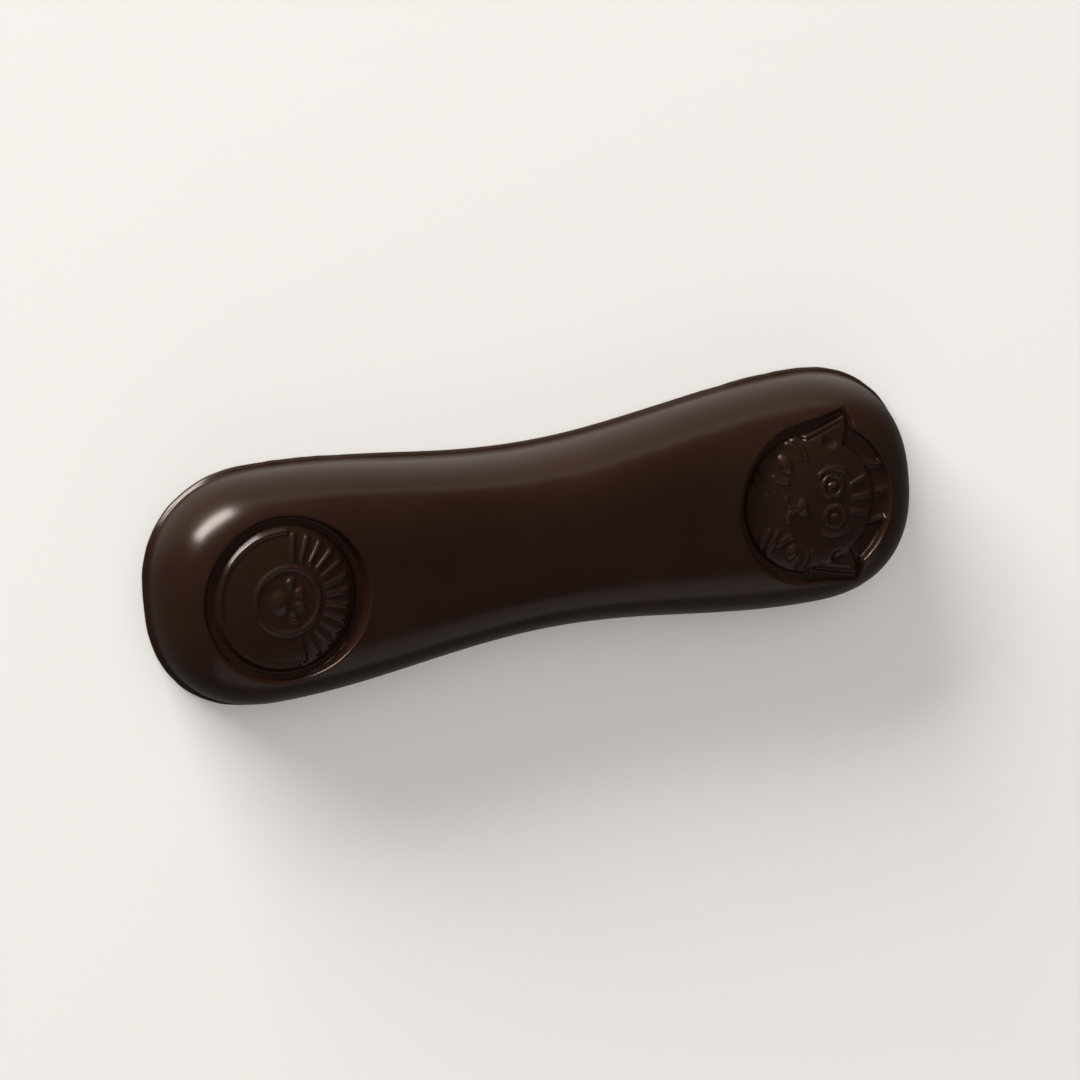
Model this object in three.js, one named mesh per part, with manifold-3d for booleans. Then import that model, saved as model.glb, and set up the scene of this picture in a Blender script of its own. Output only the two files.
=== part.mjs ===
// A cat tongue chocolate: one long piece with two broad round ends and a narrower waist.
// It lies on its flat poured back with the moulded face up. The face carries two sunk reliefs,
// a cat's head at the +X end, ears towards the tip, and a round medallion at the -X end.
// Millimetres, +Z up. The origin is under the middle of the flat back.
import * as THREE from 'three';
import { mergeVertices } from 'three/addons/utils/BufferGeometryUtils.js';
import Module from 'manifold-3d';

// Outline of the flat back.
const LENGTH = 84;
const END_HALF_WIDTH = 12.5;
const WAIST_HALF_WIDTH = 9.9;
const WIDEST_X = 29.5;
const END_SQUARENESS = 2.35;
const WAIST_STEPS = 11;
const END_STEPS = 17;

// Cross-section: a thin flange round the back, then a dome.
const HEIGHT = 9;
const FLANGE_REACH = 0.45;
const FLANGE_THICKNESS = 0.6;
const FLANGE_BEVEL = 0.15;
const DOME_FLATNESS = 3.8;
const DOME_FULLNESS = 2.1;
const DOME_FRACTIONS = [1, 0.985, 0.96, 0.92, 0.87, 0.8, 0.7, 0.58, 0.4, 0.2, 0];

// Reliefs: a flat-floored recess in the dome with a low mound in it, at each end.
const SPINE_END = 29;
const HEAD_X = 28.6;
const MEDALLION_X = -29.4;
const RECESS_RADIUS = 8.5;
const RECESS_DRAFT = 0.15;
const RECESS_FLOOR = 7.2;
const MOUND_RADIUS = 7.7;
const MOUND_BASE = 7.1;
const MOUND_RISE = 1.35;
const ROUND_STEPS = 36;
const MOUND_ROWS = 12;
const OVERCUT = 1;
const BUMP_FACETS = 10;
const RIDGE_RADIUS = 0.26;
const RIDGE_SEGMENTS = 3;
const RIDGE_MIN_STEPS = 3;
const RING_FACETS = 5;
const ARC_POINTS = 9;

// Cat's head, in a frame with +X up the head and +Y to its side, its origin at the relief's centre.
// An ear's corners are [out, along] from a point EAR_REACH from that centre, EAR_TURN off +X; its
// root and back lie under the mound.
const HEAD_TOP_RADIUS = 6.85;
const HEAD_TOP_TURN = 98;
const HEAD_TOP_SEGMENTS = 16;
const EAR_TURN = 64;
const EAR_SLOPE = 8;
const EAR_LEVEL = 7.4;
const EAR_REACH = 8.3;
const EAR_RECESS = {
  root: [-2.6, -1.3],
  foot: [0.1, -1.3],
  inner: [1.05, -0.9],
  tip: [1.9, 0],
  outer: [-1.3, 4.7],
  back: [-3.6, 2.35],
};
const EAR_PLATE = {
  root: [-2.2, -0.97],
  foot: [-0.8, -0.97],
  inner: [0.05, -0.9],
  tip: [1.3, -0.2],
  outer: [-2.2, 3.7],
  back: [-3.2, 1.85],
};
const EAR_TIP_ROUNDING = 0.3;
const EAR_TIP_SEGMENTS = 4;
const EAR_RECESS_DEPTH = 0.5;
const EAR_HOLLOW = { up: 2.25, side: 6.05, size: [0.8, 0.6, 0.4], turn: -20 };
const EAR_GROOVE = [0, 6.75, 3.6, 7.85];
const EAR_GROOVE_RADIUS = 0.14;
const EYE = { up: 2, side: 1.65, size: [0.65, 0.4, 0.45], turn: 0 };
const EYE_ARCS = [
  { up: 2, side: 1.65, radius: 1.1, start: 0, end: 360 },
  { up: 2, side: 1.1, radius: 2.35, start: 52, end: 128 },
];
const CHEEK = { up: -3, side: 4.75, size: [0.65, 1.05, 0.55], turn: 24 };
const CHEEK_ARCS = [
  { up: -3, side: 5, radius: 1.75, start: 5, end: 72 },
  { up: -3, side: 5, radius: 2.3, start: 0, end: 58 },
  { up: -3, side: 4.75, radius: 1.8, start: 222, end: 270 },
];
const NOSE = { up: -1.5, side: 0, size: [0.6, 0.85, 0.5], turn: 0 };
const MOUTH = { up: -2, side: 1.25, radius: 1.25, start: 185, end: 300 };
const WHISKERS = [[-4.4, 2.3, -5.85, 4.5], [-5.3, 2.0, -6.5, 3.6]];
const STRIPES = [[4.3, 0, 6.1, 0], [4.1, 1.4, 5.7, 1.9]];
const TUFTS = [[6.4, 0, 8.0, 0], [5.9, 3.2, 7.6, 2.95]];
const TUFT_RADIUS = 0.42;

// Medallion, in the same kind of frame, its origin at the relief's centre: a smooth panel with a
// raised rim on the -X half, a fan of flutes on the +X half and a paw print in the inner ring.
const PANEL_RIM = { up: 0, side: 0, radius: 7, start: 84, end: 276 };
const RIM_POINTS = 30;
const INNER_RING = 3.4;
const FLUTE_COUNT = 13;
const FLUTE_SPREAD = 13;
const FLUTE_MIDDLE = 5.5;
const FLUTE_FACETS = 8;
const FLUTE_SIZE = [1.65, 0.26, 0.3];
const PAD = { up: -0.85, side: 0, size: [0.95, 1.25, 0.5], turn: 0 };
const TOES = { count: 4, reach: 2.2, spread: 37, size: [0.6, 0.46, 0.4] };

// Vertices nearer than this are one vertex.
const MERGE_DISTANCE = 1e-5;

const CHOCOLATE = new THREE.MeshStandardMaterial({ color: 0x3a2620, roughness: 0.42, metalness: 0 });

const wasm = await Module();
wasm.setup();

// A closed geometry as a solid: its vertices are joined by place, and triangles that have
// shrunk to a line are left out.
function solid(geometry) {
  const bare = geometry.clone();
  bare.deleteAttribute('normal');
  bare.deleteAttribute('uv');
  const joined = mergeVertices(bare, MERGE_DISTANCE);
  const corners = joined.index.array;
  const triangles = [];
  for (let i = 0; i < corners.length; i += 3) {
    const [a, b, c] = corners.slice(i, i + 3);
    if (a !== b && b !== c && c !== a) {
      triangles.push(a, b, c);
    }
  }
  return new wasm.Manifold(new wasm.Mesh({
    numProp: 3,
    vertProperties: new Float32Array(joined.attributes.position.array),
    triVerts: new Uint32Array(triangles),
  }));
}

function toGeometry(manifold) {
  const mesh = manifold.getMesh();
  const geometry = new THREE.BufferGeometry();
  geometry.setAttribute('position', new THREE.BufferAttribute(new Float32Array(mesh.vertProperties), 3));
  geometry.setIndex(new THREE.BufferAttribute(new Uint32Array(mesh.triVerts), 1));
  const flat = geometry.toNonIndexed();
  flat.computeVertexNormals();
  return flat;
}

// One quarter of the outline, from the waist to the tip. Each station has a rim point and the
// point of the middle line that its rib runs to.
function quarterStations() {
  const stations = [];
  for (let i = 0; i < WAIST_STEPS; i += 1) {
    const share = i / WAIST_STEPS;
    const swell = (1 - Math.cos(Math.PI * share)) / 2;
    const halfWidth = THREE.MathUtils.lerp(WAIST_HALF_WIDTH, END_HALF_WIDTH, swell);
    stations.push({ rim: [WIDEST_X * share, halfWidth], spine: SPINE_END * share });
  }
  const reach = LENGTH / 2 - WIDEST_X;
  const power = 2 / END_SQUARENESS;
  for (let i = 0; i <= END_STEPS; i += 1) {
    const turn = (Math.PI / 2) * (i / END_STEPS);
    const out = reach * Math.sin(turn) ** power;
    const halfWidth = END_HALF_WIDTH * Math.max(0, Math.cos(turn)) ** power;
    stations.push({ rim: [WIDEST_X + out, halfWidth], spine: SPINE_END });
  }
  return stations;
}

// The whole outline, counter-clockwise from the +X tip.
function outlineStations() {
  const quarter = quarterStations();
  const mirrored = (station, sx, sy) => ({
    rim: [sx * station.rim[0], sy * station.rim[1]],
    spine: sx * station.spine,
  });
  const toWaist = [...quarter].reverse();
  const fromWaist = quarter.slice(1);
  return [
    ...toWaist.map((station) => mirrored(station, 1, 1)),
    ...fromWaist.map((station) => mirrored(station, -1, 1)),
    ...toWaist.slice(1).map((station) => mirrored(station, -1, -1)),
    ...fromWaist.slice(0, -1).map((station) => mirrored(station, 1, -1)),
  ];
}

function domeHeight(fraction) {
  const foot = FLANGE_THICKNESS;
  return foot + (HEIGHT - foot) * (1 - fraction ** DOME_FLATNESS) ** (1 / DOME_FULLNESS);
}

// The body as rings of points, from the middle of the flat back over the flange to the dome's top.
function bodyGeometry() {
  const stations = outlineStations();
  const rings = [
    { inset: 0, fraction: 0, height: 0 },
    { inset: 0, fraction: 1, height: 0 },
    { inset: 0, fraction: 1, height: FLANGE_THICKNESS - FLANGE_BEVEL },
    { inset: FLANGE_BEVEL, fraction: 1, height: FLANGE_THICKNESS },
    ...DOME_FRACTIONS.map((fraction) => (
      { inset: FLANGE_REACH, fraction, height: domeHeight(fraction) }
    )),
  ];
  const positions = rings.flatMap(({ inset, fraction, height }) => (
    stations.flatMap(({ rim, spine }) => {
      const rib = [rim[0] - spine, rim[1]];
      const scale = fraction * (1 - inset / Math.hypot(...rib));
      return [spine + rib[0] * scale, rib[1] * scale, height];
    })
  ));
  const count = stations.length;
  const index = [];
  for (let ring = 0; ring < rings.length - 1; ring += 1) {
    const low = ring * count;
    const high = low + count;
    for (let i = 0; i < count; i += 1) {
      const next = (i + 1) % count;
      index.push(low + i, low + next, high + next, low + i, high + next, high + i);
    }
  }
  const geometry = new THREE.BufferGeometry();
  geometry.setAttribute('position', new THREE.Float32BufferAttribute(positions, 3));
  geometry.setIndex(index);
  return geometry;
}

function moundLevel(up, side) {
  return MOUND_BASE + MOUND_RISE * Math.sqrt(1 - (Math.hypot(up, side) / MOUND_RADIUS) ** 2);
}

function floorLevel() {
  return RECESS_FLOOR;
}

function earLevel(up, side) {
  const angle = THREE.MathUtils.degToRad(EAR_TURN);
  const out = up * Math.cos(angle) + side * Math.sin(angle) - EAR_REACH;
  return EAR_LEVEL - out * Math.tan(THREE.MathUtils.degToRad(EAR_SLOPE));
}

// A rounded bump, half sunk in the mound, its sizes along and across a line `turn` degrees off up.
function bump({ up, side, size, turn }, facets = BUMP_FACETS) {
  const geometry = new THREE.SphereGeometry(1, facets, facets / 2 + 1);
  geometry.rotateX(Math.PI / 2);
  geometry.scale(...size);
  geometry.rotateZ(THREE.MathUtils.degToRad(turn));
  geometry.translate(up, side, moundLevel(up, side));
  return solid(geometry);
}

// A thin raised ridge along points given as [up, side], half sunk in the level under it.
function ridge(points, radius = RIDGE_RADIUS, level = moundLevel) {
  const path = new THREE.CatmullRomCurve3(
    points.map(([up, side]) => new THREE.Vector3(up, side, level(up, side))),
  );
  const section = new THREE.Shape().absarc(0, 0, radius, 0, Math.PI * 2);
  const steps = Math.max(RIDGE_MIN_STEPS, points.length);
  const settings = { steps, curveSegments: RIDGE_SEGMENTS, extrudePath: path };
  return solid(new THREE.ExtrudeGeometry(section, settings));
}

function straightRidge([up0, side0, up1, side1]) {
  return ridge([[up0, side0], [up1, side1]]);
}

function tuft([up0, side0, up1, side1]) {
  return ridge([[up0, side0], [up1, side1]], TUFT_RADIUS, floorLevel);
}

function earGroove([up0, side0, up1, side1]) {
  return ridge([[up0, side0], [up1, side1]], EAR_GROOVE_RADIUS, earLevel);
}

function polarPoint({ up, side, radius }, turn) {
  const angle = THREE.MathUtils.degToRad(turn);
  return [up + radius * Math.cos(angle), side + radius * Math.sin(angle)];
}

function arcRidge(arc, count = ARC_POINTS) {
  const points = [];
  for (let i = 0; i < count; i += 1) {
    points.push(polarPoint(arc, THREE.MathUtils.lerp(arc.start, arc.end, i / (count - 1))));
  }
  return ridge(points);
}

// A whole raised ring round the relief's centre.
function ring(radius) {
  const geometry = new THREE.TorusGeometry(radius, RIDGE_RADIUS, RING_FACETS, ROUND_STEPS);
  geometry.translate(0, 0, moundLevel(radius, 0));
  return solid(geometry);
}

function recess() {
  const depth = HEIGHT + OVERCUT - RECESS_FLOOR;
  const geometry = new THREE.CylinderGeometry(
    RECESS_RADIUS + RECESS_DRAFT, RECESS_RADIUS - RECESS_DRAFT, depth, ROUND_STEPS,
  );
  geometry.rotateX(Math.PI / 2);
  geometry.translate(0, 0, RECESS_FLOOR + depth / 2);
  return solid(geometry);
}

function mound() {
  const geometry = new THREE.SphereGeometry(1, ROUND_STEPS, MOUND_ROWS);
  geometry.rotateX(Math.PI / 2);
  geometry.scale(MOUND_RADIUS, MOUND_RADIUS, MOUND_RISE);
  geometry.translate(0, 0, MOUND_BASE);
  return solid(geometry);
}

// What is cut from the mound's top edge between the ears, so that the head is lower there.
function headTopCut() {
  const angle = THREE.MathUtils.degToRad(HEAD_TOP_TURN);
  const bottom = MOUND_BASE - OVERCUT;
  const shape = new THREE.Shape();
  shape.absarc(0, 0, RECESS_RADIUS, -angle, angle, false);
  shape.absarc(0, 0, HEAD_TOP_RADIUS, angle, -angle, true);
  shape.closePath();
  const depth = HEIGHT - bottom;
  const settings = { depth, bevelEnabled: false, curveSegments: HEAD_TOP_SEGMENTS };
  const geometry = new THREE.ExtrudeGeometry(shape, settings);
  geometry.translate(0, 0, bottom);
  return solid(geometry);
}

// An ear-shaped plate that slopes with the dome, from `bottom` to `top` about the ear's own level.
function earPlate({ root, foot, inner, tip, outer, back }, bottom, top) {
  const nearTip = (corner) => {
    const run = [corner[0] - tip[0], corner[1] - tip[1]];
    const share = EAR_TIP_ROUNDING / Math.hypot(...run);
    return [tip[0] + run[0] * share, tip[1] + run[1] * share];
  };
  const shape = new THREE.Shape();
  shape.moveTo(...root);
  shape.lineTo(...foot);
  shape.lineTo(...inner);
  shape.lineTo(...nearTip(inner));
  shape.quadraticCurveTo(...tip, ...nearTip(outer));
  shape.lineTo(...outer);
  shape.lineTo(...back);
  shape.closePath();
  const settings = { depth: top - bottom, bevelEnabled: false, curveSegments: EAR_TIP_SEGMENTS };
  const geometry = new THREE.ExtrudeGeometry(shape, settings);
  geometry.translate(0, 0, bottom);
  geometry.rotateY(THREE.MathUtils.degToRad(EAR_SLOPE));
  geometry.translate(EAR_REACH, 0, EAR_LEVEL);
  geometry.rotateZ(THREE.MathUtils.degToRad(EAR_TURN));
  return solid(geometry);
}

function addAll(manifold, pieces) {
  return pieces.reduce((whole, piece) => whole.add(piece), manifold);
}

// One solid of the pieces and of their mirror images on the other side of the head.
function bothSides(pieces) {
  const side = addAll(pieces[0], pieces.slice(1));
  return side.add(side.mirror([0, 1, 0]));
}

function sinkCatHead(body) {
  const place = [HEAD_X, 0, 0];
  const earRecess = bothSides([earPlate(EAR_RECESS, -EAR_RECESS_DEPTH, HEIGHT)]);
  const ears = bothSides([earPlate(EAR_PLATE, MOUND_BASE - EAR_LEVEL - MOUND_RISE, 0)]);
  const hollows = bothSides([bump(EAR_HOLLOW), earGroove(EAR_GROOVE)]);
  const features = bothSides([
    bump(EYE),
    bump(CHEEK),
    bump(NOSE),
    arcRidge(MOUTH),
    ...EYE_ARCS.map((arc) => arcRidge(arc)),
    ...CHEEK_ARCS.map((arc) => arcRidge(arc)),
    ...WHISKERS.map(straightRidge),
    ...STRIPES.map(straightRidge),
    ...TUFTS.map(tuft),
  ]);
  const head = mound().subtract(headTopCut()).add(ears).subtract(hollows).add(features);
  return body.subtract(recess().add(earRecess).translate(place)).add(head.translate(place));
}

function sinkMedallion(body) {
  const place = [MEDALLION_X, 0, 0];
  const features = [arcRidge(PANEL_RIM, RIM_POINTS), ring(INNER_RING), bump(PAD)];
  for (let i = 0; i < FLUTE_COUNT; i += 1) {
    const turn = FLUTE_SPREAD * (i - (FLUTE_COUNT - 1) / 2);
    const [up, side] = polarPoint({ up: 0, side: 0, radius: FLUTE_MIDDLE }, turn);
    features.push(bump({ up, side, size: FLUTE_SIZE, turn }, FLUTE_FACETS));
  }
  for (let i = 0; i < TOES.count; i += 1) {
    const turn = TOES.spread * (i - (TOES.count - 1) / 2);
    const [up, side] = polarPoint({ up: PAD.up, side: PAD.side, radius: TOES.reach }, turn);
    features.push(bump({ up, side, size: TOES.size, turn }));
  }
  const disc = addAll(mound(), features).translate(place);
  return body.subtract(recess().translate(place)).add(disc);
}

const chocolate = new THREE.Mesh(
  toGeometry(sinkMedallion(sinkCatHead(solid(bodyGeometry())))),
  CHOCOLATE,
);
chocolate.name = 'cat_tongue';

const group = new THREE.Group();
group.add(chocolate);

export default group;
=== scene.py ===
import math

import bmesh
import bpy
import numpy as np
from mathutils import Matrix, Vector


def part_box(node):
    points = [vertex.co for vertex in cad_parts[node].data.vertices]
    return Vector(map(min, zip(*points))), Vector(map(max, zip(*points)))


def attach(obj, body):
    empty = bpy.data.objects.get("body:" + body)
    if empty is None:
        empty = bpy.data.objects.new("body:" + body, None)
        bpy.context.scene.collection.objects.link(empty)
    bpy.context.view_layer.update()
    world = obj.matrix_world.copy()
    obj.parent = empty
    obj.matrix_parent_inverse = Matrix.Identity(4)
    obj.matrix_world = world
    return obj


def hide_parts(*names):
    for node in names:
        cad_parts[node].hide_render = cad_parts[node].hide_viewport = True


# One moulded dark chocolate on a pale studio floor. Lengths are in millimetres, and MM turns
# them into metres where a mesh, a light or a texture is made.
MM = 0.001
NODE = "cat_tongue"

# Outline and cross-section, beside the three sizes that come from the frame.
WAIST_HALF_WIDTH = 9.9
WIDEST_X = 29.5
END_SQUARENESS = 2.35
DOME_FLATNESS = 3.8
DOME_FULLNESS = 2.1
FLANGE_REACH = 0.45
FLANGE_THICKNESS = 0.6
FLANGE_FILLET = 0.12

# The flange's edge from the flat back up: how far in from the outline, the share of the edge's
# waviness and the height. A wave fits round the outline that many times, and its phase is drawn.
FLANGE_PROFILE = (
    (0.2, 1, 0),
    (0.07, 1, 0.04),
    (0.01, 1, 0.11),
    (0, 1, 0.2),
    (0.03, 1, 0.29),
    (0.09, 1, 0.37),
    (0.16, 0.9, 0.45),
    (0.24, 0.7, 0.53),
    (0.33, 0.4, FLANGE_THICKNESS),
)
FLANGE_WOBBLE = 0.09
FLANGE_WAVES = (5, 9, 14, 23, 37, 61)
FLANGE_WAVE_FADING = 0.6
FLANGE_SEED = 7
FLANGE_PHASES = 6.28

# Reliefs: a flat-floored recess with a low mound in it, at each end of the middle line.
SPINE_END = 29
HEAD_X = 28.6
MEDALLION_X = -29.4
RECESS_RADIUS = 8.5
RECESS_FLOOR = 7.2
MOUND_RADIUS = 7.7
MOUND_BASE = 7.1
MOUND_RISE = 1.35
WALL_SOFTNESS = 0.24
EDGE_SOFTNESS = 0.16
BLEND_SOFTNESS = 0.1
MOUND_MARGIN = 0.1
RIDGE_RISE = 0.27
RIDGE_HALF_WIDTH = 0.36

# Stations along a quarter of the outline, and rings between its rim and the middle line. The
# back's inner ring lies at BACK_SHARE of the way out to the rim.
PLAIN_SHARE = 0.66
PLAIN_STATIONS = 22
RELIEF_STATIONS = 86
END_STATIONS = 112
DOME_RINGS = 100
RIM_CROWDING = 1.35
BACK_SHARE = 0.9
WELD_DISTANCE = 0.0002

# Cat's head: +X is up the head, +Y its side. A bump is (up, side), its two half sizes, rise and
# turn. An arc is (up, side), radius, start and end. A line is up and side at both its ends. An
# ear's corners are (out, along) from a point EAR_REACH from the centre, EAR_TURN degrees off up.
HEAD_TOP_RADIUS = 6.85
HEAD_TOP_TURN = 98
HEAD_TOP_STEP = 4
EAR_TURN = 64
EAR_SLOPE = 8
EAR_LEVEL = 7.4
EAR_REACH = 8.3
EAR_RECESS = (
    (-2.6, -1.3),
    (0.1, -1.3),
    (1.05, -0.9),
    (1.85, -0.15),
    (1.9, 0),
    (1.8, 0.15),
    (-1.3, 4.7),
    (-3.6, 2.4),
)
EAR_PLATE = (
    (-2.2, -0.97),
    (-0.8, -0.97),
    (0.05, -0.9),
    (1.2, -0.32),
    (1.3, -0.2),
    (1.2, -0.05),
    (-2.2, 3.7),
    (-3.2, 1.8),
)
EAR_RECESS_DEPTH = 0.5
EAR_PLATE_BLEND = 0.12
EAR_PLATE_MARGIN = 0.05
EAR_HOLLOW = ((2.25, 6.05), (0.9, 0.7), 0.4, -20)
EAR_GROOVE = (0, 6.75, 3.6, 7.85)
EAR_GROOVE_DEPTH = 0.2
EAR_GROOVE_HALF_WIDTH = 0.24
EYE = ((2, 1.65), (0.72, 0.46), 0.42, 0)
EYE_ARCS = (((2, 1.65), 1.1, 0, 360), ((2, 1.1), 2.35, 52, 128))
CHEEK = ((-3, 4.75), (0.75, 1.15), 0.5, 24)
CHEEK_ARCS = (((-3, 5), 1.75, 5, 72), ((-3, 5), 2.3, 0, 58), ((-3, 4.75), 1.8, 222, 270))
NOSE = ((-1.5, 0), (0.68, 0.95), 0.45, 0)
MOUTH_ARC = ((-2, 1.25), 1.25, 185, 300)
WHISKERS = ((-4.4, 2.3, -5.85, 4.5), (-5.3, 2.0, -6.5, 3.6))
STRIPES = ((4.3, 0, 6.1, 0), (4.1, 1.4, 5.7, 1.9))
FACE_MARGIN = 0.3
FACE_FADING = 0.2
TUFTS = ((6.4, 0, 8.0, 0), (5.9, 3.2, 7.6, 2.95))
TUFT_RISE = 0.45
TUFT_HALF_WIDTH = 0.55

# Medallion: a smooth panel with a raised rim, a fan of flutes and a paw print in the inner ring.
PANEL_RIM = ((0, 0), 7, 84, 276)
INNER_RING = 3.4
FLUTE_COUNT = 13
FLUTE_SPREAD = 13
FLUTE_SPAN = (3.9, 7.1)
FLUTE_RISE = 0.28
FLUTE_END = 0.5
FLUTE_ROUNDNESS = 0.8
FAN_SOFTNESS = 0.05
PAD = ((-0.85, 0), (1.05, 1.35), 0.45, 0)
TOE_COUNT = 4
TOE_REACH = 2.2
TOE_SPREAD = 37
TOE_SIZE = (0.68, 0.54)
TOE_RISE = 0.38

# Chocolate finish: colours, roughness and the heights of its ripples and grain. The poured back
# reaches up to POURED_LEVEL, and the moulded face starts at MOULDED_LEVEL.
DEEP_CHOCOLATE = (0.0078, 0.0029, 0.0017)
WARM_CHOCOLATE = (0.0145, 0.0054, 0.0031)
SATIN = 0.25
SATIN_CLOUDING = 0.18
POURED_DULLNESS = 0.12
POURED_LEVEL = 0.05
MOULDED_LEVEL = 0.3
RIPPLE_HEIGHT = 0.042
GRAIN_HEIGHT = 0.0028

# Camera: the photograph looks at the face from the medallion's end and from its upper side.
VIEW_DISTANCE = 722
VIEW_DIRECTION = (-0.335, 0.257, 0.906)
VIEW_UP = (0.169, 0.963, -0.210)
VIEW_LENS = 235
VIEW_SENSOR = 36
VIEW_AIM_HEIGHT = 3
VIEW_CLIP_END = 20_000

# The studio's bright side lies beyond the chocolate's upper side, at and below floor level.
AIR_DIRECTION = (0, 0.8, -0.6)
DIM_AIR = (0.13, 0.126, 0.12)
BRIGHT_AIR = (0.85, 0.79, 0.75)
FLOOR_HALF_SIZE = 3_000


def smooth_step(low, high, value):
    share = np.clip((value - low) / (high - low), 0, 1)
    return share * share * (3 - 2 * share)


def bell(distance, half_width):
    """1 on the line, 0 from half_width on, smooth at both."""
    share = np.clip(distance / half_width, 0, 1)
    return (1 - share * share) ** 2


def soft_max(first, second, softness):
    """The higher of two surfaces, with a small fillet where they meet."""
    blend = np.clip(0.5 + 0.5 * (first - second) / softness, 0, 1)
    return second + (first - second) * blend + softness * blend * (1 - blend)


def polygon_distance(x, y, corners):
    """Signed distance to a closed polygon, negative inside."""
    nearest = np.full(x.shape, np.inf)
    inside = np.zeros(x.shape, bool)
    for (x0, y0), (x1, y1) in zip(corners, corners[1:] + corners[:1]):
        edge_x = x1 - x0
        edge_y = y1 - y0
        along = np.clip(((x - x0) * edge_x + (y - y0) * edge_y) / (edge_x ** 2 + edge_y ** 2), 0, 1)
        nearest = np.minimum(nearest, np.hypot(x - x0 - along * edge_x, y - y0 - along * edge_y))
        if y0 != y1:
            crosses = (y0 > y) != (y1 > y)
            inside ^= crosses & (x < (y - y0) * edge_x / (y1 - y0) + x0)
    return np.where(inside, -nearest, nearest)


def line_ridge(up, side, line, rise=RIDGE_RISE, half_width=RIDGE_HALF_WIDTH):
    """A straight ridge; the line is (up, side) at its start and (up, side) at its end."""
    run_up = line[2] - line[0]
    run_side = line[3] - line[1]
    along = ((up - line[0]) * run_up + (side - line[1]) * run_side) / (run_up ** 2 + run_side ** 2)
    along = np.clip(along, 0, 1)
    distance = np.hypot(up - line[0] - along * run_up, side - line[1] - along * run_side)
    return rise * bell(distance, half_width)


def arc_ridge(up, side, centre, radius, start, end, rise=RIDGE_RISE, half_width=RIDGE_HALF_WIDTH):
    """A ridge along part of a circle, from the angle start to the angle end, in degrees."""
    middle = math.radians((start + end) / 2)
    half = math.radians((end - start) / 2)
    away_up = up - centre[0]
    away_side = side - centre[1]
    turn = np.arctan2(away_side, away_up) - middle
    turn = (turn + math.pi) % (2 * math.pi) - math.pi
    nearest = np.clip(turn, -half, half) + middle
    distance = np.hypot(away_up - radius * np.cos(nearest), away_side - radius * np.sin(nearest))
    return rise * bell(distance, half_width)


def oval_bump(up, side, centre, size, rise, turn):
    """A rounded bump, its half sizes along and across a line that is turned off up."""
    angle = math.radians(turn)
    away_up = up - centre[0]
    away_side = side - centre[1]
    first = (away_up * math.cos(angle) + away_side * math.sin(angle)) / size[0]
    second = (away_side * math.cos(angle) - away_up * math.sin(angle)) / size[1]
    return rise * np.sqrt(bell(np.hypot(first, second), 1))


def mound_height(reach):
    share = np.clip(reach / MOUND_RADIUS, 0, 1)
    return MOUND_BASE + MOUND_RISE * np.sqrt(1 - share ** 2)


def within(distance, softness):
    """1 inside an edge, 0 outside, with a smooth change over the softness on both sides."""
    return 1 - smooth_step(-softness, softness, distance)


def lower_to(height, level, share):
    return height + np.minimum(level - height, 0) * share


def raise_to(height, level, share):
    return height + np.maximum(level - height, 0) * share


def face_relief(up, side):
    """Eye, cheek, nose, mouth, whiskers and stripes on one side of the cat's face."""
    parts = [
        oval_bump(up, side, *EYE),
        oval_bump(up, side, *CHEEK),
        oval_bump(up, side, *NOSE),
        arc_ridge(up, side, *MOUTH_ARC),
    ]
    parts += [arc_ridge(up, side, *arc) for arc in EYE_ARCS + CHEEK_ARCS]
    parts += [line_ridge(up, side, line) for line in WHISKERS + STRIPES]
    return np.max(parts, axis=0)


def sink_cat_head(up, side, height):
    """The dome's height with the cat's head sunk into it."""
    side = np.abs(side)
    reach = np.hypot(up, side)
    turn = math.radians(EAR_TURN)
    out = up * math.cos(turn) + side * math.sin(turn) - EAR_REACH
    along = side * math.cos(turn) - up * math.sin(turn)
    plate = EAR_LEVEL - out * math.tan(math.radians(EAR_SLOPE))
    in_circle = within(reach - RECESS_RADIUS, WALL_SOFTNESS)
    carved = lower_to(height, RECESS_FLOOR, in_circle)
    in_ear = within(polygon_distance(out, along, EAR_RECESS), WALL_SOFTNESS)
    carved = lower_to(carved, plate - EAR_RECESS_DEPTH, in_ear)
    off_up = np.degrees(np.arctan2(side, up))
    past_top = smooth_step(HEAD_TOP_TURN - HEAD_TOP_STEP, HEAD_TOP_TURN + HEAD_TOP_STEP, off_up)
    edge = reach - HEAD_TOP_RADIUS - (MOUND_RADIUS - HEAD_TOP_RADIUS) * past_top
    on_head = within(edge + MOUND_MARGIN, EDGE_SOFTNESS)
    carved = raise_to(carved, soft_max(carved, mound_height(reach), BLEND_SOFTNESS), on_head)
    tufts = [line_ridge(up, side, line, TUFT_RISE, TUFT_HALF_WIDTH) for line in TUFTS]
    carved = carved + np.max(tufts, axis=0) * (1 - on_head)
    on_plate = within(polygon_distance(out, along, EAR_PLATE) + EAR_PLATE_MARGIN, EDGE_SOFTNESS)
    carved = raise_to(carved, soft_max(carved, plate, EAR_PLATE_BLEND), on_plate)
    on_face = within(reach - MOUND_RADIUS + FACE_MARGIN, FACE_FADING)
    carved = carved + face_relief(up, side) * on_face
    carved = carved - line_ridge(up, side, EAR_GROOVE, EAR_GROOVE_DEPTH, EAR_GROOVE_HALF_WIDTH)
    return carved - oval_bump(up, side, *EAR_HOLLOW)


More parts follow.
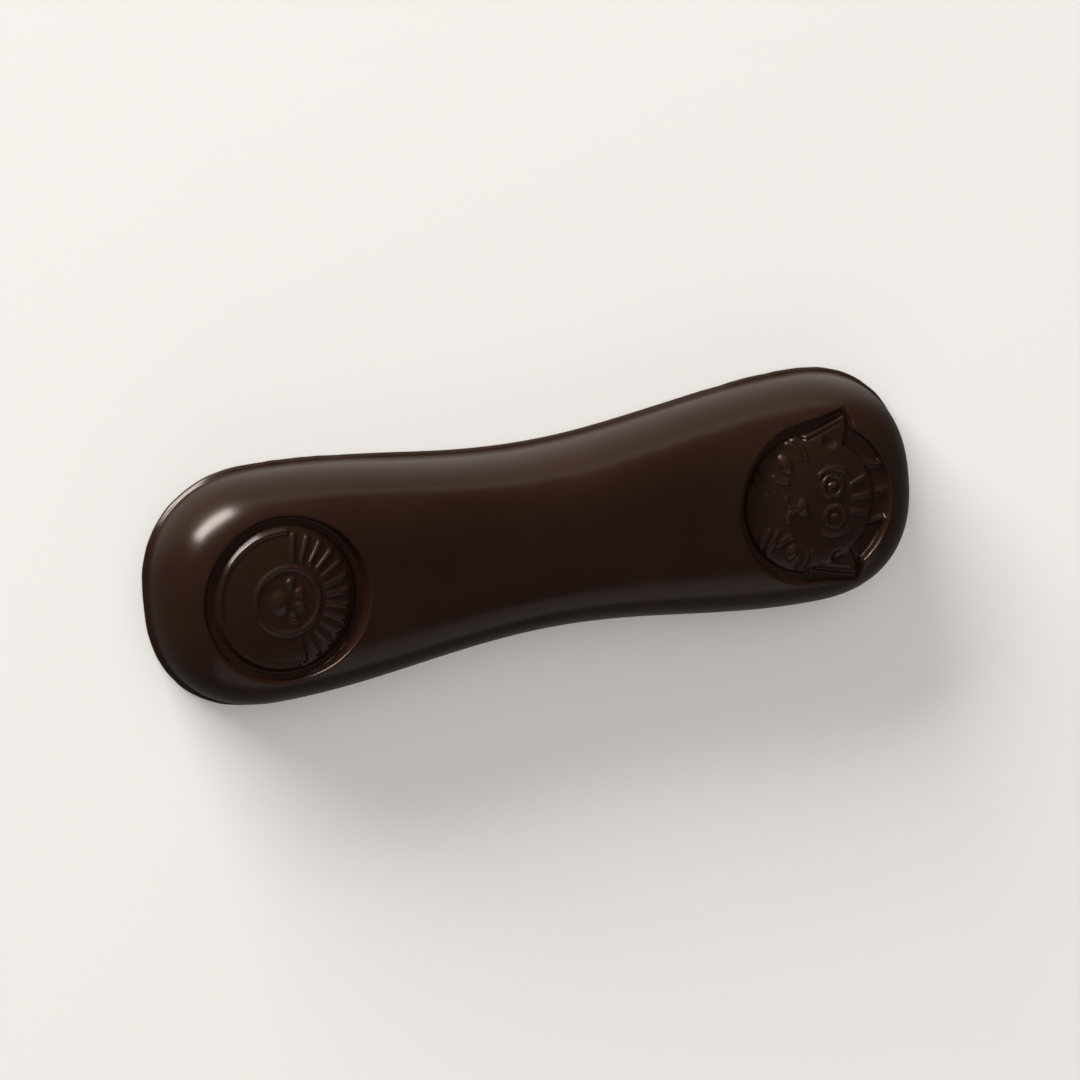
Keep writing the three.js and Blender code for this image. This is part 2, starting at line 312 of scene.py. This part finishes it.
def flute_fan(up, side):
    """Radial flutes between the two reaches of FLUTE_SPAN, one every FLUTE_SPREAD degrees."""
    reach = np.hypot(up, side)
    turn = np.degrees(np.arctan2(side, up)) / FLUTE_SPREAD
    in_fan = within(np.abs(turn) - FLUTE_COUNT / 2, FAN_SOFTNESS)
    wave = np.clip(np.cos(2 * math.pi * turn), 0, 1) ** FLUTE_ROUNDNESS * in_fan
    first, last = FLUTE_SPAN
    begun = smooth_step(first, first + FLUTE_END, reach)
    ended = smooth_step(last - FLUTE_END, last, reach)
    return FLUTE_RISE * wave * (begun * (1 - ended))


def toe_bump(up, side, toe):
    turn = TOE_SPREAD * (toe - (TOE_COUNT - 1) / 2)
    angle = math.radians(turn)
    pad_up, pad_side = PAD[0]
    centre = (pad_up + TOE_REACH * math.cos(angle), pad_side + TOE_REACH * math.sin(angle))
    return oval_bump(up, side, centre, TOE_SIZE, TOE_RISE, turn)


def sink_medallion(up, side, height):
    """The dome's height with the round medallion sunk into it."""
    reach = np.hypot(up, side)
    carved = lower_to(height, RECESS_FLOOR, within(reach - RECESS_RADIUS, WALL_SOFTNESS))
    on_disc = within(reach - MOUND_RADIUS + MOUND_MARGIN, EDGE_SOFTNESS)
    carved = raise_to(carved, soft_max(carved, mound_height(reach), BLEND_SOFTNESS), on_disc)
    parts = [
        arc_ridge(up, side, *PANEL_RIM),
        RIDGE_RISE * bell(np.abs(reach - INNER_RING), RIDGE_HALF_WIDTH),
        flute_fan(up, side),
        oval_bump(up, side, *PAD),
    ]
    parts += [toe_bump(up, side, toe) for toe in range(TOE_COUNT)]
    return carved + np.max(parts, axis=0)


def outline_quarter(length, half_width):
    """Rim points and middle-line places from the waist to the tip."""
    plain = np.linspace(0, PLAIN_SHARE, PLAIN_STATIONS, endpoint=False)
    fine = np.linspace(PLAIN_SHARE, 1, RELIEF_STATIONS, endpoint=False)
    share = np.concatenate([plain, fine])
    swell = (1 - np.cos(math.pi * share)) / 2
    turn = np.linspace(0, math.pi / 2, END_STATIONS)
    reach = length / 2 - WIDEST_X
    power = 2 / END_SQUARENESS
    rim_x = np.concatenate([WIDEST_X * share, WIDEST_X + reach * np.sin(turn) ** power])
    rim_y = np.concatenate([
        WAIST_HALF_WIDTH + (half_width - WAIST_HALF_WIDTH) * swell,
        half_width * np.clip(np.cos(turn), 0, 1) ** power,
    ])
    spine = np.concatenate([SPINE_END * share, np.full(END_STATIONS, SPINE_END)])
    return rim_x, rim_y, spine


def outline_loop(length, half_width):
    """The whole outline, counter-clockwise from the +X tip."""
    rim_x, rim_y, spine = outline_quarter(length, half_width)
    pieces = []
    for sign_x, sign_y in ((1, 1), (-1, 1), (-1, -1), (1, -1)):
        part = np.stack([sign_x * rim_x, sign_y * rim_y, sign_x * spine], axis=1)
        if sign_x == sign_y:
            part = part[::-1]
        pieces.append(part)
    first, second, third, fourth = pieces
    return np.concatenate([first, second[1:], third[1:], fourth[1:-1]])


def dome_height(fraction, height):
    foot = FLANGE_THICKNESS
    return foot + (height - foot) * (1 - fraction ** DOME_FLATNESS) ** (1 / DOME_FULLNESS)


def flange_wobble(count):
    """The poured back's edge is never quite even: a few slow waves with seeded phases."""
    draw = np.random.default_rng(FLANGE_SEED)
    angle = np.linspace(0, 2 * math.pi, count, endpoint=False)
    waves = np.zeros(count)
    for times in FLANGE_WAVES:
        phase = draw.uniform(0, FLANGE_PHASES)
        waves = waves + np.sin(times * angle + phase) / times ** FLANGE_WAVE_FADING
    return FLANGE_WOBBLE * waves / np.abs(waves).max()


def chocolate_rings(length, half_width, height):
    """Rings of points from the middle of the flat back, over the flange, to the dome's top."""
    loop = outline_loop(length, half_width)
    spine = loop[:, 2]
    rib_x = loop[:, 0] - spine
    rib_y = loop[:, 1]
    rib_length = np.hypot(rib_x, rib_y)

    def ring(inset, fraction, level):
        scale = fraction * (1 - inset / rib_length)
        x = spine + rib_x * scale
        y = rib_y * scale
        return np.stack([x, y, np.broadcast_to(level, x.shape)], axis=1)

    wobble = flange_wobble(len(loop))
    rings = [ring(0, 0, 0), ring(0, BACK_SHARE, 0)]
    rings += [ring(inset - wobble * share, 1, level) for inset, share, level in FLANGE_PROFILE]
    rings.append(ring(FLANGE_REACH, 1, FLANGE_THICKNESS + FLANGE_FILLET))
    fractions = 1 - np.linspace(0, 1, DOME_RINGS) ** RIM_CROWDING
    for fraction in fractions[1:]:
        x, y, z = ring(FLANGE_REACH, fraction, dome_height(fraction, height)).T
        z = sink_cat_head(x - HEAD_X, y, z)
        z = sink_medallion(x - MEDALLION_X, y, z)
        rings.append(np.stack([x, y, z], axis=1))
    return rings


def skin_between(rings):
    """Four-sided faces between each ring and the next."""
    count = len(rings[0])
    ids = np.arange(len(rings) * count).reshape(len(rings), count)
    near = ids[:-1]
    far = ids[1:]
    corners = [near, np.roll(near, -1, axis=1), np.roll(far, -1, axis=1), far]
    return np.stack(corners, axis=-1).reshape(-1, 4)


def chocolate_mesh(name, low, high):
    length = (high.x - low.x) / MM
    half_width = (high.y - low.y) / 2 / MM
    rings = chocolate_rings(length, half_width, high.z / MM)
    points = np.concatenate(rings) * MM
    mesh = bpy.data.meshes.new(name)
    mesh.from_pydata(points.tolist(), [], skin_between(rings).tolist())
    work = bmesh.new()
    work.from_mesh(mesh)
    bmesh.ops.remove_doubles(work, verts=work.verts, dist=WELD_DISTANCE * MM)
    bmesh.ops.recalc_face_normals(work, faces=work.faces)
    work.to_mesh(mesh)
    work.free()
    for polygon in mesh.polygons:
        polygon.use_smooth = True
    return mesh


class Socket:
    """A shader socket that Python's operators build Math nodes on."""

    def __init__(self, recipe, output):
        self.recipe = recipe
        self.output = output

    def math(self, operation, *values):
        return self.recipe.node("ShaderNodeMath", {"operation": operation}, dict(enumerate(values)))

    def __add__(self, other):
        return self.math("ADD", self, other)

    def __sub__(self, other):
        return self.math("SUBTRACT", self, other)

    def __rsub__(self, other):
        return self.math("SUBTRACT", other, self)

    def __mul__(self, other):
        return self.math("MULTIPLY", self, other)

    __radd__ = __add__
    __rmul__ = __mul__


class Recipe:
    """The node tree of a material or a world, and the one method that adds nodes to it."""

    def __init__(self, owner):
        self.owner = owner
        owner.use_nodes = True
        self.tree = owner.node_tree
        self.tree.nodes.clear()

    def node(self, kind, settings=None, inputs=None, output=0):
        made = self.tree.nodes.new(kind)
        for key, value in (settings or {}).items():
            setattr(made, key, value)
        for key, value in (inputs or {}).items():
            if isinstance(value, Socket):
                self.tree.links.new(value.output, made.inputs[key])
            else:
                made.inputs[key].default_value = value
        return Socket(self, made.outputs[output]) if made.outputs else None

    def noise(self, place, scale, detail, roughness):
        values = {"Vector": place, "Scale": scale, "Detail": detail, "Roughness": roughness}
        return self.node("ShaderNodeTexNoise", inputs=values)

    def smooth_range(self, value, start, end):
        """0 up to start, 1 from end on, smooth between them."""
        return self.node(
            "ShaderNodeMapRange",
            {"interpolation_type": "SMOOTHSTEP"},
            {"Value": value, "From Min": start, "From Max": end},
        )

    def mix_colours(self, factor, first, second):
        values = {"Factor": factor, "A": (*first, 1), "B": (*second, 1)}
        return self.node("ShaderNodeMix", {"data_type": "RGBA"}, values, output="Result")

    def finish(self, surface, kind="ShaderNodeOutputMaterial"):
        self.node(kind, inputs={"Surface": surface})
        return self.owner


def dark_chocolate():
    """Satin chocolate, with clouded sheen, slow ripples and fine grain, duller on the poured back."""
    recipe = Recipe(bpy.data.materials.new("dark chocolate"))
    place = recipe.node("ShaderNodeTexCoord", output="Object")
    cloud = recipe.noise(place, scale=90, detail=4, roughness=0.55)
    ripple = recipe.noise(place, scale=210, detail=1, roughness=0.4)
    grain = recipe.noise(place, scale=2600, detail=2, roughness=0.6)
    level = recipe.node("ShaderNodeSeparateXYZ", inputs={"Vector": place}, output="Z")
    moulded = recipe.smooth_range(level, POURED_LEVEL * MM, MOULDED_LEVEL * MM)
    colour = recipe.mix_colours(cloud, DEEP_CHOCOLATE, WARM_CHOCOLATE)
    roughness = SATIN + (cloud - 0.5) * SATIN_CLOUDING + (1 - moulded) * POURED_DULLNESS
    bump = recipe.node(
        "ShaderNodeBump",
        inputs={
            "Strength": 1.0,
            "Distance": MM,
            "Height": ripple * RIPPLE_HEIGHT + grain * GRAIN_HEIGHT,
        },
        output="Normal",
    )
    surface = recipe.node(
        "ShaderNodeBsdfPrincipled",
        inputs={
            "Base Color": colour,
            "Roughness": roughness,
            "IOR": 1.47,
            "Specular IOR Level": 0.28,
            "Specular Tint": (1, 0.85, 0.78, 1),
            "Normal": bump,
        },
    )
    return recipe.finish(surface)


def pale_floor_finish():
    recipe = Recipe(bpy.data.materials.new("pale studio floor"))
    surface = recipe.node(
        "ShaderNodeBsdfPrincipled",
        inputs={
            "Base Color": (0.72, 0.695, 0.665, 1),
            "Roughness": 0.9,
            "Specular IOR Level": 0.2,
            "Emission Color": (1, 0.955, 0.9, 1),
            "Emission Strength": 0.06,
        },
    )
    return recipe.finish(surface)


def add_floor():
    half = FLOOR_HALF_SIZE * MM
    corners = [(-half, -half, 0), (half, -half, 0), (half, half, 0), (-half, half, 0)]
    mesh = bpy.data.meshes.new("floor")
    mesh.from_pydata(corners, [], [(0, 1, 2, 3)])
    mesh.materials.append(pale_floor_finish())
    floor = bpy.data.objects.new("floor", mesh)
    floor.visible_glossy = False
    bpy.context.scene.collection.objects.link(floor)


def add_softbox(name, direction, distance, width, depth, glow):
    """A rectangular softbox that faces the chocolate; its glow is its radiance."""
    light = bpy.data.lights.new(name, "AREA")
    light.shape = "RECTANGLE"
    light.size = width * MM
    light.size_y = depth * MM
    light.energy = glow * math.pi * light.size * light.size_y
    holder = bpy.data.objects.new(name, light)
    towards = Vector(direction).normalized()
    holder.location = towards * distance * MM
    holder.rotation_euler = towards.to_track_quat("Z", "Y").to_euler()
    holder.visible_camera = False
    bpy.context.scene.collection.objects.link(holder)
    return holder


def studio_air():
    """A dim room with one bright side, towards AIR_DIRECTION."""
    recipe = Recipe(bpy.data.worlds.new("studio air"))
    direction = recipe.node("ShaderNodeTexCoord", output="Generated")
    facing = recipe.node(
        "ShaderNodeVectorMath",
        {"operation": "DOT_PRODUCT"},
        {0: direction, 1: AIR_DIRECTION},
        output="Value",
    )
    bright = recipe.smooth_range(facing, 0.35, 0.85)
    colour = recipe.mix_colours(bright, DIM_AIR, BRIGHT_AIR)
    surface = recipe.node("ShaderNodeBackground", inputs={"Color": colour, "Strength": 1.0})
    return recipe.finish(surface, "ShaderNodeOutputWorld")


def add_lights():
    add_softbox(
        "bright softbox", (-0.47, 0.86, 0.21), distance=1800, width=1300, depth=560, glow=37
    )
    add_softbox(
        "long softbox", (0.1, 0.98, 0.14), distance=2000, width=2200, depth=480, glow=0.7
    )
    add_softbox(
        "weak back panel", (0.1, -0.88, 0.46), distance=2000, width=3000, depth=1300, glow=0.6
    )
    overhead = add_softbox(
        "broad overhead panel", (0, 0.3, 0.95), distance=1500, width=3000, depth=2400, glow=0.9
    )
    overhead.visible_glossy = False
    bpy.context.scene.world = studio_air()


def add_camera():
    data = bpy.data.cameras.new("camera")
    data.lens = VIEW_LENS
    data.sensor_width = VIEW_SENSOR
    data.clip_end = VIEW_CLIP_END * MM
    camera = bpy.data.objects.new("camera", data)
    back = Vector(VIEW_DIRECTION).normalized()
    right = Vector(VIEW_UP).cross(back).normalized()
    up = back.cross(right)
    turn = Matrix((right, up, back)).transposed()
    aim = Vector((0, 0, VIEW_AIM_HEIGHT * MM))
    camera.matrix_world = Matrix.Translation(aim + back * VIEW_DISTANCE * MM) @ turn.to_4x4()
    bpy.context.scene.collection.objects.link(camera)
    bpy.context.scene.camera = camera


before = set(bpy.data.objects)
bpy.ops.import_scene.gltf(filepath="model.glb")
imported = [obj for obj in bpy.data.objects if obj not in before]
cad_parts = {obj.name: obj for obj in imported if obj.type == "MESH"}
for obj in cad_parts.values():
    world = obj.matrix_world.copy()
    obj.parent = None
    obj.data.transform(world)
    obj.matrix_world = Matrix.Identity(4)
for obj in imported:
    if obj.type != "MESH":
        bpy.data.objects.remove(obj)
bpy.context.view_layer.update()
low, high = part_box(NODE)

chocolate = bpy.data.objects.new("chocolate", chocolate_mesh("chocolate", low, high))
bpy.context.scene.collection.objects.link(chocolate)
chocolate.data.materials.append(dark_chocolate())
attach(chocolate, "root")
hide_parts(NODE)

add_floor()
add_lights()
add_camera()
bpy.context.scene.view_settings.view_transform = "Standard"
